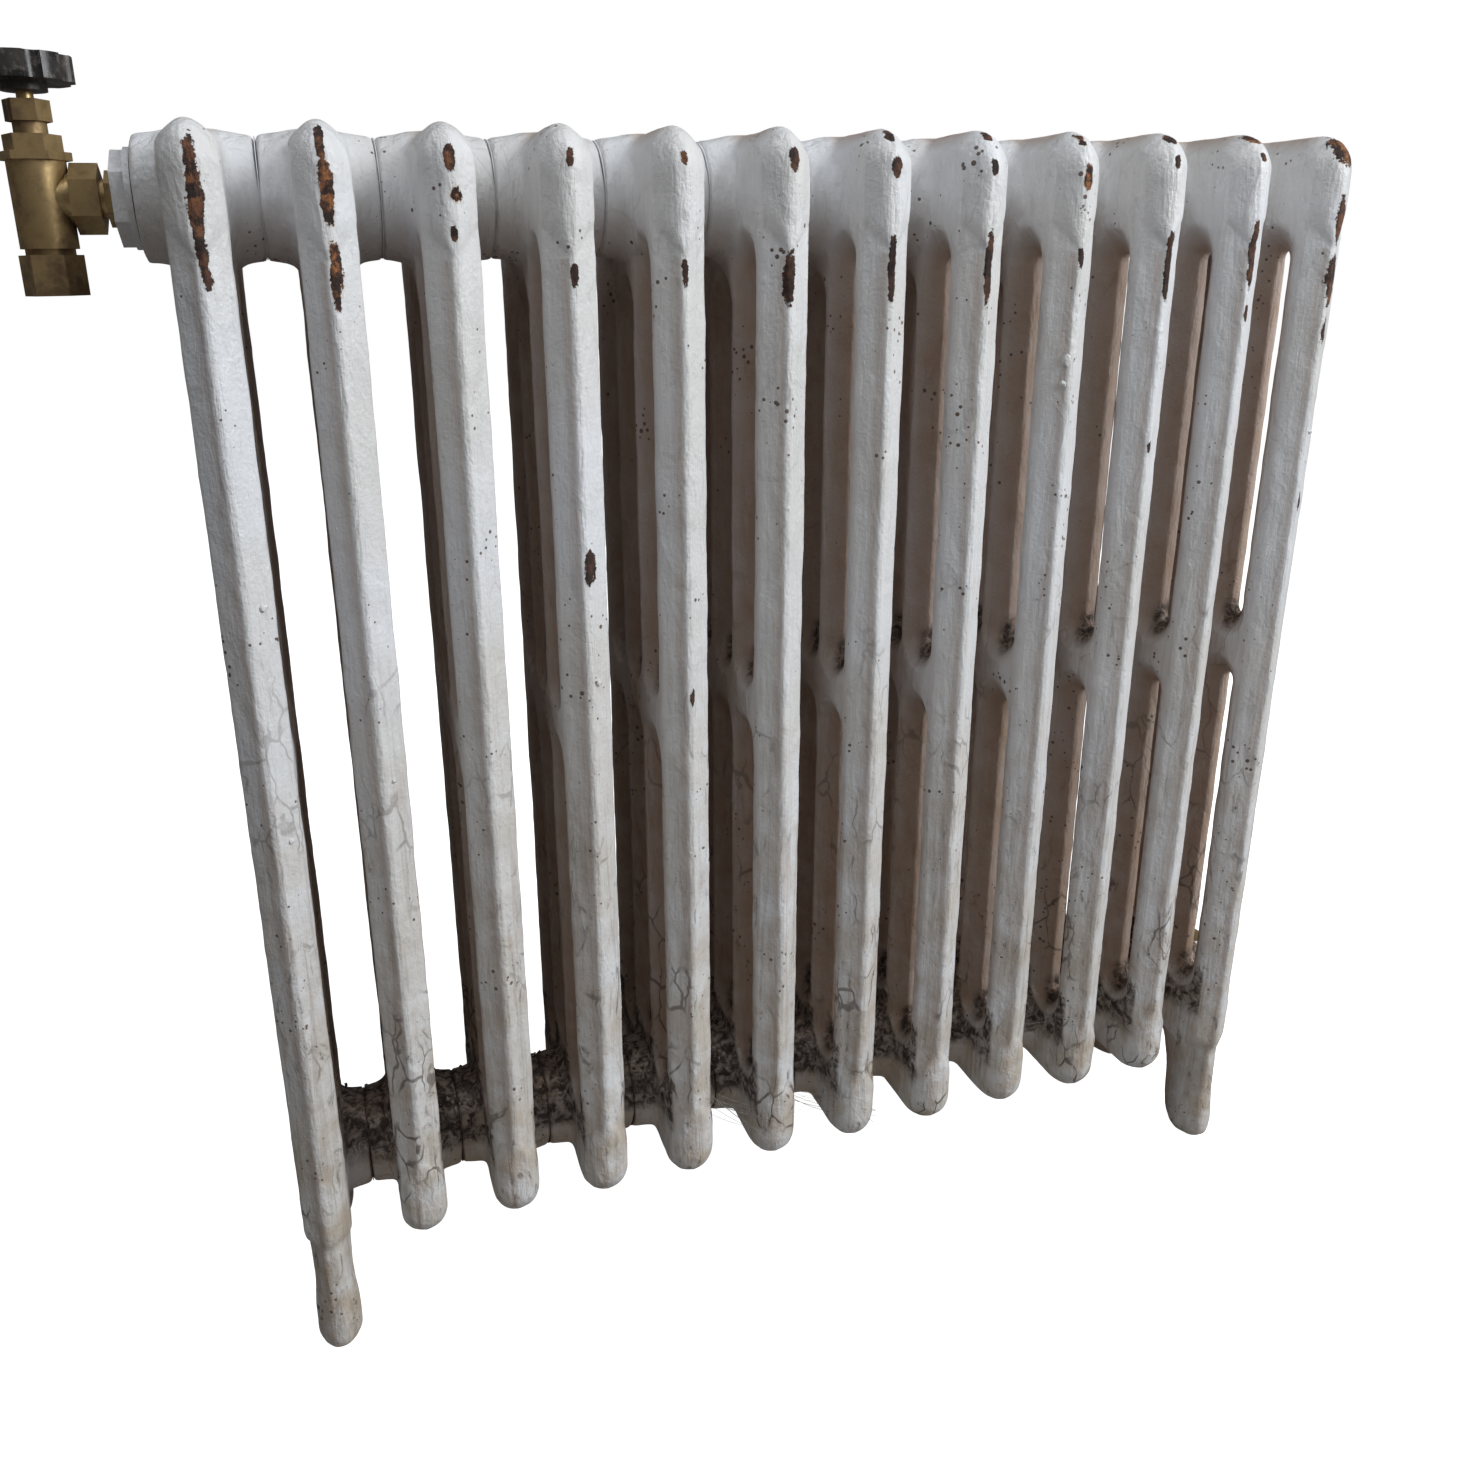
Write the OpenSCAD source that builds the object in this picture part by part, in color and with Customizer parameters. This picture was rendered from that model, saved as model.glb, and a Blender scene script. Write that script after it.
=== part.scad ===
// Cast-iron column radiator: twelve sections joined by nipples, with an angle valve
// on the top left boss, an air vent on the top right boss and a return elbow on the
// bottom right boss. The end sections stand on feet.
// Millimetres. +X runs along the row, +Y goes to the wall, +Z is up.
// The origin is on the floor under the middle of the whole unit.

/* [Row of sections] */
// Height between the lower and the upper hub axis
hub_spacing = 600; // [300:10:900]
// Length of one section along the row, hub face to hub face
section_length = 60; // [50:0.5:70]
// Thickness of the gasket between two hub faces
gasket_thickness = 0.5; // [0.3:0.1:1.5]
// Height of the section above the upper hub axis and below the lower one
crown_height = 34; // [33:0.5:42]
// Height of the feet under the section
foot_height = 72; // [50:1:100]

/* [Columns] */
// Distance between the middles of two neighbouring columns
column_pitch = 41.3; // [38:0.1:50]
// Distance from the middle of the front column to its front edge
nose_depth = 16.5; // [15:0.1:22]
// Half of the greatest thickness of a section
half_thickness = 14.5; // [13:0.1:17]
// Half of the width of the narrow front edge
edge_half_width = 1.4; // [0.8:0.1:2.5]
// Depth of the slanted faces behind the front edge
bevel_depth = 10.3; // [8:0.1:12]
// Radius of the outline's corners
corner_radius = 22.5; // [18:0.5:30]
// Width of the open slots between the columns
slot_width = 10; // [7:0.5:12]
// Thickness of the web at the slots
web_thickness = 6; // [5:0.5:8]
// Height of the solid bridge at mid height, between the slot ends
bridge_height = 44; // [36:1:60]
// Distance from the hub axis to the end centre of the outer slots
outer_slot_drop = 38.3; // [36:0.1:50]
// Distance from the hub axis to the end centre of the middle slot
middle_slot_drop = 59.6; // [56:0.1:75]

/* [Hubs] */
// Radius of the hub at its end faces
hub_radius = 31.6; // [29:0.1:33]
// Radius of the threaded hole through the hubs
hub_bore_radius = 20.95; // [18:0.05:24]
// Half of the inner width of the water passages
passage_half_width = 10.3; // [8:0.1:11]
// Length of one nipple
nipple_length = 36; // [24:1:44]
// Wall of one nipple
nipple_wall = 3.9; // [3:0.1:5]

/* [Supply valve] */
// Distance from the hub face to the axis of the supply pipe
valve_reach = 46; // [46:0.5:60]
// Radius of the handwheel
handwheel_radius = 24; // [20:0.5:30]
// Travel of the valve disc
disc_travel = 7.5; // [6:0.5:8]
// Outside diameter of the pipes
pipe_diameter = 15; // [12:0.5:16]

/* [Return elbow] */
// Distance from the hub face to the axis of the return pipe
elbow_reach = 29; // [28:0.5:40]

/* [Hidden] */

$fn = 72;

// The row
section_count = 12;
section_pitch = section_length + gasket_thickness;
half_length = section_length / 2;
bottom_axis_z = foot_height + crown_height;
top_axis_z = bottom_axis_z + hub_spacing;
half_depth = 1.5 * column_pitch + nose_depth;
bottom_z = bottom_axis_z - crown_height;
top_z = top_axis_z + crown_height;
mid_z = (bottom_axis_z + top_axis_z) / 2;
row_half = (section_count - 1) * section_pitch / 2 + half_length;
return_nut_radius = 14;
row_shift = (valve_reach + handwheel_radius - elbow_reach - return_nut_radius) / 2;
left_face_x = row_shift - row_half;
right_face_x = row_shift + row_half;

// Slots and grooves
slot_half = slot_width / 2;
web_half = web_thickness / 2;
crest_half = 0.3;
groove_half = column_pitch / 2 - crest_half;
groove_slope = (groove_half - slot_half) / (half_thickness - web_half);
cutter_reach = 20;
cutter_half = slot_half + groove_slope * (cutter_reach - web_half);

// Flare where a hub meets the section
flare_radius = 38.5;
flare_clip = crown_height - bevel_depth;

// Water passages
passage_up = 22;
passage_down = 24;
passage_depth = 62;
tube_tip = 13;
tube_half = 10;
nose_wall = 4;

// Feet
foot_front = half_depth - 3.5;
foot_ankle_half = 12.1;
foot_toe_half = 14.3;
foot_pad_half = 9.5;

// Plugs and bushes
thread_gap = 0.05;
bush_radius = hub_bore_radius - thread_gap;
bush_shank = 16;
bush_gasket = 1;
bush_flange = 3;
bush_flange_radius = 25;
bush_hex = 41;
bush_hex_length = 7;
bush_end = bush_gasket + bush_flange + bush_hex_length;
half_inch_radius = 10.5;

// Return elbow, measured from the hub face and from the pipe's axis
elbow_radius = 12;
elbow_ball = 12.4;
elbow_mouth = 24;

// Valve, measured left from the hub face and up from the hub axis
pipe_radius = pipe_diameter / 2 + 0.05;
bore_radius = 7;
union_start = bush_end + 4;
body_start = union_start + 12;
body_radius = 14;
chamber_radius = 9.5;
seat_level = -8;
body_top = 22;
socket_start = -24;
socket_end = -38;
spindle_radius = 4;
running_gap = 0.06;
bonnet_top = 42;
gland_top = 46;
wheel_bottom = 50;
wheel_top = 66;
disc_bore_end = -1;
disc_top = body_top - disc_travel - 4.5;
spindle_foot = disc_bore_end + disc_travel + 1.5;

function section_x(number) = row_shift + (number - 1 - (section_count - 1) / 2) * section_pitch;
function joint_x(number) = section_x(number) + section_pitch / 2;

// ---------- helpers ----------

// Lays a shape that stands on the XY plane along +X.
module lay_x() {
    rotate([0, 90, 0])
        children();
}

module round_bar(from, to, radius) {
    translate([from, 0, 0])
        lay_x()
            cylinder(h = to - from, r = radius);
}

module hex_bar(from, to, across_flats) {
    translate([from, 0, 0])
        lay_x()
            cylinder(h = to - from, r = across_flats / sqrt(3), $fn = 6);
}

module post(from, to, radius) {
    translate([0, 0, from])
        cylinder(h = to - from, r = radius);
}

module hex_post(from, to, across_flats) {
    translate([0, 0, from])
        cylinder(h = to - from, r = across_flats / sqrt(3), $fn = 6);
}

// Draws a half outline of radius against place along X, spun about the X axis.
module spin_about_x(outline) {
    rotate([0, 90, 0])
        rotate_extrude()
            polygon(outline);
}

module at_supply() {
    translate([left_face_x, 0, top_axis_z])
        rotate([0, 0, 180])
            children();
}

module at_supply_valve() {
    translate([left_face_x - valve_reach, 0, top_axis_z])
        children();
}

module at_return() {
    translate([right_face_x, 0, bottom_axis_z])
        children();
}

module at_vent() {
    translate([right_face_x, 0, top_axis_z])
        children();
}

// ---------- one section ----------

// Cross-section of the plate with its slanted edges; the first coordinate is along
// the row.
module plate_outline(half_span) {
    polygon([
        [-edge_half_width, -half_span],
        [edge_half_width, -half_span],
        [half_thickness, -half_span + bevel_depth],
        [half_thickness, half_span - bevel_depth],
        [edge_half_width, half_span],
        [-edge_half_width, half_span],
        [-half_thickness, half_span - bevel_depth],
        [-half_thickness, -half_span + bevel_depth]
    ]);
}

module corner_disc() {
    spin_about_x([
        [0, -half_thickness],
        [corner_radius - bevel_depth, -half_thickness],
        [corner_radius, -edge_half_width],
        [corner_radius, edge_half_width],
        [corner_radius - bevel_depth, half_thickness],
        [0, half_thickness]
    ]);
}

module plate() {
    translate([0, 0, bottom_z + corner_radius])
        linear_extrude(height = top_z - bottom_z - 2 * corner_radius)
            plate_outline(half_depth);
    translate([0, half_depth - corner_radius, mid_z])
        rotate([90, 0, 0])
            linear_extrude(height = 2 * (half_depth - corner_radius))
                plate_outline((top_z - bottom_z) / 2);
    for (side = [-1, 1]) {
        translate([0, side * (half_depth - corner_radius), bottom_z + corner_radius])
            corner_disc();
        translate([0, side * (half_depth - corner_radius), top_z - corner_radius])
            corner_disc();
    }
}

// Slot with the wide groove round it on both faces, from one end centre to the other.
module groove(y, from, to) {
    translate([0, y, from])
        linear_extrude(height = to - from)
            polygon([
                [-cutter_reach, -cutter_half],
                [-web_half, -slot_half],
                [web_half, -slot_half],
                [cutter_reach, -cutter_half],
                [cutter_reach, cutter_half],
                [web_half, slot_half],
                [-web_half, slot_half],
                [-cutter_reach, cutter_half]
            ]);
    for (z = [from, to])
        translate([0, y, z])
            spin_about_x([
                [0, -cutter_reach],
                [cutter_half, -cutter_reach],
                [slot_half, -web_half],
                [slot_half, web_half],
                [cutter_half, cutter_reach],
                [0, cutter_reach]
            ]);
}

module grooves() {
    bridge_end = bridge_height / 2 + slot_half;
    for (column_gap = [-1, 0, 1]) {
        drop = column_gap == 0 ? middle_slot_drop : outer_slot_drop;
        groove(column_gap * column_pitch, bottom_axis_z + drop, mid_z - bridge_end);
        groove(column_gap * column_pitch, mid_z + bridge_end, top_axis_z - drop);
    }
}

// One hub half, from the section's middle to its end face, with a flare at the root.
module hub_half(direction, axis_z, clip_up, clip_down) {
    root = half_thickness - 0.1;
    translate([0, 0, axis_z])
        mirror([direction < 0 ? 1 : 0, 0, 0]) {
            round_bar(0, half_length, hub_radius);
            intersection() {
                spin_about_x([
                    [0, root - 4],
                    [flare_radius, root - 4],
                    [flare_radius, root],
                    [hub_radius + 3.4, root + 1.3],
                    [hub_radius + 1.4, root + 3],
                    [hub_radius + 0.6, root + 6],
                    [hub_radius - 0.1, root + 12],
                    [0, root + 12]
                ]);
                translate([0, -half_depth, -clip_down])
                    cube([half_length, 2 * half_depth, clip_up + clip_down]);
            }
        }
}

module hubs(left_bottom) {
    for (direction = [-1, 1])
        hub_half(direction, top_axis_z, flare_clip, flare_radius + 5);
    hub_half(1, bottom_axis_z, flare_radius + 5, flare_clip);
    if (left_bottom)
        hub_half(-1, bottom_axis_z, flare_radius + 5, flare_clip);
}

// Water space: a header behind each row of hubs and one tube in each column.
module header_passage(axis_z, up, down) {
    translate([-passage_half_width, -passage_depth, axis_z - down])
        cube([2 * passage_half_width, 2 * passage_depth, up + down]);
}

module column_tube(y, front_tip, rear_tip, shoulder) {
    translate([0, y, bottom_axis_z])
        linear_extrude(height = hub_spacing)
            polygon([
                [0, -front_tip],
                [tube_half, -shoulder],
                [tube_half, shoulder],
                [0, rear_tip],
                [-tube_half, shoulder],
                [-tube_half, -shoulder]
            ]);
}

module water_space() {
    outer_tip = nose_depth - nose_wall;
    header_passage(top_axis_z, passage_up, passage_down);
    header_passage(bottom_axis_z, passage_down, passage_up);
    column_tube(-1.5 * column_pitch, outer_tip, tube_tip, 0.5);
    column_tube(-0.5 * column_pitch, tube_tip, tube_tip, 0.5);
    column_tube(0.5 * column_pitch, tube_tip, tube_tip, 0.5);
    column_tube(1.5 * column_pitch, tube_tip, outer_tip, 0.5);
}

module hub_bores(left_bottom) {
    translate([0, 0, top_axis_z])
        round_bar(-half_length - 1, half_length + 1, hub_bore_radius);
    bottom_start = left_bottom ? -half_length - 1 : 0;
    translate([0, 0, bottom_axis_z])
        round_bar(bottom_start, half_length + 1, hub_bore_radius);
}

// Foot under the front of an end section: slim ankle, wider toe, flat pad on the floor.
module foot() {
    ankle_low = 0.68 * foot_height;
    root_z = foot_height + corner_radius;
    intersection() {
        translate([-20, 0, 0])
            rotate([90, 0, 90])
                linear_extrude(height = 40)
                    polygon([
                        [-foot_front + 6, 0],
                        [-foot_front - 1.5, 7],
                        [-foot_front - 2, 16],
                        [-foot_front, ankle_low],
                        [-foot_front, root_z],
                        [-half_depth + 66, root_z],
                        [-half_depth + 58, foot_height - 3],
                        [-half_depth + 46, ankle_low],
                        [-half_depth + 42, 14],
                        [-half_depth + 39, 5],
                        [-half_depth + 33, 0]
                    ]);
        rotate([90, 0, 0])
            linear_extrude(height = 2 * half_depth, center = true)
                polygon([
                    [-foot_pad_half, 0],
                    [foot_pad_half, 0],
                    [foot_toe_half - 0.6, 5],
                    [foot_toe_half, 14],
                    [foot_toe_half, 0.42 * foot_height],
                    [foot_ankle_half, ankle_low],
                    [foot_ankle_half + 0.4, foot_height],
                    [half_thickness - 0.4, root_z],
                    [-half_thickness + 0.4, root_z],
                    [-foot_ankle_half - 0.4, foot_height],
                    [-foot_ankle_half, ankle_low],
                    [-foot_toe_half, 0.42 * foot_height],
                    [-foot_toe_half, 14],
                    [-foot_toe_half + 0.6, 5]
                ]);
        linear_extrude(height = root_z)
            polygon([
                [-4, -half_depth - 1],
                [4, -half_depth - 1],
                [half_thickness, -half_depth + 14],
                [half_thickness, -half_depth + 24],
                [5, -half_depth + 67],
                [-5, -half_depth + 67],
                [-half_thickness, -half_depth + 24],
                [-half_thickness, -half_depth + 14]
            ]);
    }
}

module section(number, left_bottom, feet) {
    color([0.86, 0.86, 0.84])
        translate([section_x(number), 0, 0])
            difference() {
                union() {
                    difference() {
                        plate();
                        grooves();
                    }
                    hubs(left_bottom);
                    if (feet) {
                        foot();
                        mirror([0, 1, 0])
                            foot();
                    }
                }
                water_space();
                hub_bores(left_bottom);
            }
}

module section_01() {
    section(1, false, true);
}

module section_02() {
    section(2, true, false);
}

module section_03() {
    section(3, true, false);
}

module section_04() {
    section(4, true, false);
}

module section_05() {
    section(5, true, false);
}

module section_06() {
    section(6, true, false);
}

module section_07() {
    section(7, true, false);
}

module section_08() {
    section(8, true, false);
}

module section_09() {
    section(9, true, false);
}

module section_10() {
    section(10, true, false);
}

module section_11() {
    section(11, true, false);
}

module section_12() {
    section(12, true, true);
}

// ---------- nipples and gaskets between the sections ----------

module nipple() {
    inner = hub_bore_radius - thread_gap - nipple_wall;
    lug = 3;
    difference() {
        round_bar(-nipple_length / 2, nipple_length / 2, hub_bore_radius - thread_gap);
        round_bar(-nipple_length / 2 - 1, nipple_length / 2 + 1, inner);
    }
    for (side = [-1, 1])
        translate([-nipple_length / 4, side * (inner - lug / 4) - lug / 2, -lug / 2])
            cube([nipple_length / 2, lug, lug]);
}

module nipples(axis_z) {
    color([0.33, 0.3, 0.27])
        for (number = [1 : section_count - 1])
            translate([joint_x(number), 0, axis_z])
                nipple();
}

module gasket_ring(length, outer, inner) {
    difference() {
        round_bar(0, length, outer);
        round_bar(-1, length + 1, inner);
    }
}

module gaskets(axis_z) {
    color([0.2, 0.19, 0.18])
        for (number = [1 : section_count - 1])
            translate([joint_x(number) - gasket_thickness / 2, 0, axis_z])
                gasket_ring(gasket_thickness, hub_radius - 0.8, hub_bore_radius + 0.3);
}

module nipples_top() {
    nipples(top_axis_z);
}

module nipples_bottom() {
    nipples(bottom_axis_z);
}

module gaskets_top() {
    gaskets(top_axis_z);
}

module gaskets_bottom() {
    gaskets(bottom_axis_z);
}

// ---------- bushes and plugs ----------

module bush(bore) {
    difference() {
        union() {
            round_bar(-bush_shank, bush_gasket + 1, bush_radius);
            round_bar(bush_gasket, bush_gasket + bush_flange, bush_flange_radius);
            hex_bar(bush_gasket + bush_flange, bush_end, bush_hex);
        }
        round_bar(-bush_shank - 1, bush_end + 1, bore);
    }
}

module bush_gasket() {
    color([0.55, 0.24, 0.18])
        gasket_ring(bush_gasket, bush_flange_radius - 0.5, hub_bore_radius + 0.3);
}

module supply_bush() {
    color([0.84, 0.84, 0.82])
        at_supply()
            bush(half_inch_radius);
}

module supply_bush_gasket() {
    at_supply()
        bush_gasket();
}

module return_bush() {
    color([0.84, 0.84, 0.82])
        at_return()
            bush(half_inch_radius);
}

module return_bush_gasket() {
    at_return()
        bush_gasket();
}

// ---------- supply valve ----------

module valve_tail() {
    shank = half_inch_radius - thread_gap;
    color([0.78, 0.62, 0.33])
        at_supply()
            difference() {
                union() {
                    round_bar(-2, bush_end + 1, shank);
                    hex_bar(bush_end, union_start, 24);
                    round_bar(union_start - 1, body_start - 3, 9.4);
                    round_bar(body_start - 5, body_start - 0.3, 12.6);
                }
                round_bar(-3, body_start + 1, bore_radius);
            }
}

module valve_union_nut() {
    color([0.78, 0.62, 0.33])
        at_supply()
            difference() {
                hex_bar(union_start + 2.5, body_start + 4, 30);
                round_bar(union_start, body_start + 6, 9.7);
                round_bar(body_start - 5.3, body_start + 6, 12.9);
            }
}

module valve_body() {
    spigot = valve_reach - body_start;
    color([0.8, 0.65, 0.36])
        at_supply_valve()
            difference() {
                union() {
                    post(socket_start, body_top - 3, body_radius);
                    hex_post(body_top - 4, body_top, 30);
                    round_bar(0, spigot - 4, 11.5);
                    round_bar(spigot - 6, spigot, 12.6);
                    post(socket_end, socket_start + 1, 11.9);
                }
                post(seat_level, body_top + 1, chamber_radius);
                post(body_top - 10, body_top + 1, 11);
                post(socket_start - 2, body_top, 6);
                post(seat_level - 4, seat_level + 0.5, 8.3);
                round_bar(0, spigot + 1, bore_radius);
                post(socket_end - 1, socket_start - 1, pipe_radius);
            }
}

module valve_seat_ring() {
    color([0.72, 0.56, 0.3])
        at_supply_valve()
            difference() {
                post(seat_level - 3.9, seat_level, 8.25);
                post(seat_level - 5, seat_level + 1, 5.6);
            }
}

module valve_disc() {
    bottom = seat_level + 2.2;
    color([0.72, 0.56, 0.3])
        at_supply_valve()
            difference() {
                post(bottom, disc_top, 7.6);
                post(disc_bore_end, disc_top + 1, spindle_radius + running_gap);
            }
}

module disc_washer() {
    color([0.12, 0.12, 0.12])
        at_supply_valve()
            post(seat_level + 0.2, seat_level + 2.2, 7.4);
}

module valve_bonnet() {
    color([0.78, 0.62, 0.33])
        at_supply_valve()
            difference() {
                union() {
                    post(body_top - 10 + 0.2, body_top + 1, 11 - thread_gap);
                    hex_post(body_top, 30, 24);
                    post(29, bonnet_top, 8);
                }
                post(0, body_top, 8.2);
                post(body_top - 1, 30, 6.3);
                post(29, bonnet_top + 1, spindle_radius + running_gap);
                post(36, bonnet_top + 1, 6.5);
            }
}

module gland_packing() {
    color([0.85, 0.83, 0.76])
        at_supply_valve()
            difference() {
                post(36, bonnet_top, 6.45);
                post(35, bonnet_top + 1, spindle_radius + running_gap);
            }
}

module gland_nut() {
    color([0.78, 0.62, 0.33])
        at_supply_valve()
            difference() {
                hex_post(bonnet_top - 6, gland_top, 19);
                post(bonnet_top - 7, bonnet_top, 8 + thread_gap);
                post(bonnet_top - 1, gland_top + 1, spindle_radius + 0.1);
            }
}

module valve_spindle() {
    color([0.8, 0.68, 0.42])
        at_supply_valve()
            difference() {
                union() {
                    post(spindle_foot, wheel_top - 2, spindle_radius);
                    post(26, 29.8, 6);
                }
                post(wheel_top - 11, wheel_top, 2.05);
            }
}

module handwheel() {
    grip_depth = 2.2;
    grips = 8;
    color([0.09, 0.09, 0.1])
        at_supply_valve()
            difference() {
                union() {
                    post(wheel_bottom + 4, wheel_top, handwheel_radius);
                    post(wheel_bottom, wheel_top, 11);
                }
                post(wheel_bottom - 1, wheel_top - 2, spindle_radius + thread_gap);
                post(wheel_top - 3, wheel_top + 1, 2.1);
                post(wheel_top - 1.5, wheel_top + 1, 5.2);
                for (turn = [0 : grips - 1])
                    rotate([0, 0, (turn + 0.5) * 360 / grips])
                        translate([handwheel_radius + 6 - grip_depth, 0, wheel_bottom - 1])
                            cylinder(h = wheel_top - wheel_bottom + 2, r = 6);
            }
}

module handwheel_screw() {
    color([0.72, 0.72, 0.7])
        at_supply_valve()
            difference() {
                union() {
                    post(wheel_top - 10, wheel_top, 2);
                    post(wheel_top - 1.5, wheel_top + 1, 5);
                }
                translate([-6, -0.6, wheel_top])
                    cube([12, 1.2, 2]);
            }
}

// ---------- pipe nuts and olives ----------

// Nut over a pipe end; the pipe leaves along -Z.
module pipe_nut(from, to) {
    difference() {
        hex_post(to, from, 27);
        post(to - 1, from + 1, pipe_radius);
        post(to + 5, from + 1, 12);
    }
}

module pipe_olive(from, to) {
    difference() {
        post(to, from, 10.2);
        post(to - 1, from + 1, pipe_radius);
    }
}

module supply_pipe_nut() {
    color([0.78, 0.62, 0.33])
        at_supply_valve()
            pipe_nut(socket_start - 3, socket_end - 9);
}

module supply_pipe_olive() {
    color([0.7, 0.52, 0.3])
        at_supply_valve()
            pipe_olive(socket_end, socket_end - 4);
}

// ---------- return elbow, towards the wall ----------

module return_elbow() {
    shank = half_inch_radius - thread_gap;
    color([0.8, 0.65, 0.36])
        at_return()
            difference() {
                union() {
                    round_bar(-2, bush_end + 1, shank);
                    round_bar(bush_end, elbow_reach, 11.2);
                    translate([elbow_reach, 0, 0])
                        rotate([90, 0, 0])
                            post(-elbow_mouth, 0, elbow_radius);
                    translate([elbow_reach, 0, 0])
                        sphere(r = elbow_ball);
                }
                round_bar(-3, elbow_reach, bore_radius);
                translate([elbow_reach, 0, 0])
                    rotate([90, 0, 0])
                        post(-elbow_mouth - 1, 0, bore_radius - 0.5);
                translate([elbow_reach, 0, 0])
                    rotate([90, 0, 0])
                        post(-elbow_mouth - 1, -elbow_mouth / 2, pipe_radius);
                translate([elbow_reach, 0, 0])
                    sphere(r = bore_radius + 0.4);
            }
}

module at_return_pipe() {
    at_return()
        translate([elbow_reach, elbow_mouth, 0])
            rotate([90, 0, 0])
                children();
}

module return_pipe_nut() {
    color([0.78, 0.62, 0.33])
        at_return_pipe()
            difference() {
                post(-9, 8, return_nut_radius);
                post(-10, 9, pipe_radius);
                post(-4, 9, elbow_radius + 0.1);
            }
}

module return_pipe_olive() {
    color([0.7, 0.52, 0.3])
        at_return_pipe()
            pipe_olive(0, -4);
}

// ---------- air vent ----------

module vent_plug() {
    color([0.84, 0.84, 0.82])
        at_vent()
            bush(5);
}

module vent_plug_gasket() {
    at_vent()
        bush_gasket();
}

module vent_body() {
    color([0.78, 0.62, 0.33])
        at_vent()
            difference() {
                union() {
                    round_bar(0, bush_end + 0.5, 5 - thread_gap);
                    hex_bar(bush_end, bush_end + 5, 12);
                    round_bar(bush_end + 4, bush_end + 12, 5);
                }
                round_bar(-1, bush_end + 5, 1.2);
                round_bar(bush_end + 4, bush_end + 13, 3 + running_gap);
            }
}

module vent_screw() {
    color([0.8, 0.68, 0.42])
        at_vent()
            union() {
                round_bar(bush_end + 4.6, bush_end + 13, 3);
                translate([bush_end + 12, -2.5, -2.5])
                    cube([8, 5, 5]);
            }
}

// ---------- choose what is drawn ----------

section_01();
section_02();
section_03();
section_04();
section_05();
section_06();
section_07();
section_08();
section_09();
section_10();
section_11();
section_12();
nipples_top();
nipples_bottom();
gaskets_top();
gaskets_bottom();
supply_bush();
supply_bush_gasket();
valve_tail();
valve_union_nut();
valve_body();
valve_seat_ring();
valve_bonnet();
gland_packing();
gland_nut();
valve_spindle();
handwheel();
handwheel_screw();
valve_disc();
disc_washer();
supply_pipe_nut();
supply_pipe_olive();
return_bush();
return_bush_gasket();
return_elbow();
return_pipe_nut();
return_pipe_olive();
vent_plug();
vent_plug_gasket();
vent_body();
vent_screw();
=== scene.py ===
import math
import random

import bmesh
import bpy
import numpy as np
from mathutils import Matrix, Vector


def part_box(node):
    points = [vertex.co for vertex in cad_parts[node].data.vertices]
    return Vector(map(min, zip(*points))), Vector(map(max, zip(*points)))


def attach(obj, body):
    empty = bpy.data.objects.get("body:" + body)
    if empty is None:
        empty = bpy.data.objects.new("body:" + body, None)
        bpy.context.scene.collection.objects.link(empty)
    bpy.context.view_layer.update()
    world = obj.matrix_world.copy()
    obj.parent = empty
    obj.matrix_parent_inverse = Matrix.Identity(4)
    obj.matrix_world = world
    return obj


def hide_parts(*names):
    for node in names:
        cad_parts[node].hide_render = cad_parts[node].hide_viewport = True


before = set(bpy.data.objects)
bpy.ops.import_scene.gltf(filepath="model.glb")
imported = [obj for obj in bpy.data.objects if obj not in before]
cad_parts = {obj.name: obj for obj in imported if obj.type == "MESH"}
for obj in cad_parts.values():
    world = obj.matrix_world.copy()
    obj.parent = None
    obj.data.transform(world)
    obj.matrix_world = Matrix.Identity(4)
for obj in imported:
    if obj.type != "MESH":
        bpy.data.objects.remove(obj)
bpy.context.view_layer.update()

rng = random.Random(7)
MM = 0.001

# ---------- sizes taken from the frame ----------

SECTION_COUNT = 12
plain_low, plain_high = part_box("section_02")
half_depth = (plain_high.y - plain_low.y) / 2
base_z = plain_low.z
crown_z = plain_high.z
mid_z = (base_z + crown_z) / 2
CROWN = 34 * MM            # tip above the hub axis
top_axis = crown_z - CROWN
low_axis = base_z + CROWN
COLUMN_PITCH = 41.3 * MM   # from one column to the next, front to back
HALF_THICK = 14.5 * MM
EDGE_HALF = 1.4 * MM       # half of the narrow front edge
BEVEL = 10.3 * MM          # depth of the slanted faces
CORNER = 22.5 * MM
SLOT_HALF = 5 * MM
WEB_HALF = 3 * MM
GROOVE_REACH = 15.4 * MM
GROOVE_SLOPE = 1.3348
OUTER_DROP = 38.3 * MM     # hub axis to the end of the front and rear slots
MIDDLE_DROP = 59.6 * MM    # hub axis to the end of the middle slot
BRIDGE_HALF = 27 * MM
HUB_RADIUS = 31.6 * MM
CREASE_DROP = 32.3 * MM    # hub axis to the tip of the chevron crease
CREASE_SLOPE = 1.15
GRAIN = 1.7 * MM           # how finely a casting's skin is laid


def middle_x(name):
    """Where a section stands along the row."""
    low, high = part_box(name)
    return (low.x + high.x) / 2


# ---------- workshop helpers ----------


def nothing_selected():
    if bpy.context.object and bpy.context.object.mode != "OBJECT":
        bpy.ops.object.mode_set(mode="OBJECT")
    bpy.ops.object.select_all(action="DESELECT")


def only(piece):
    nothing_selected()
    piece.select_set(True)
    bpy.context.view_layer.objects.active = piece


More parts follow.
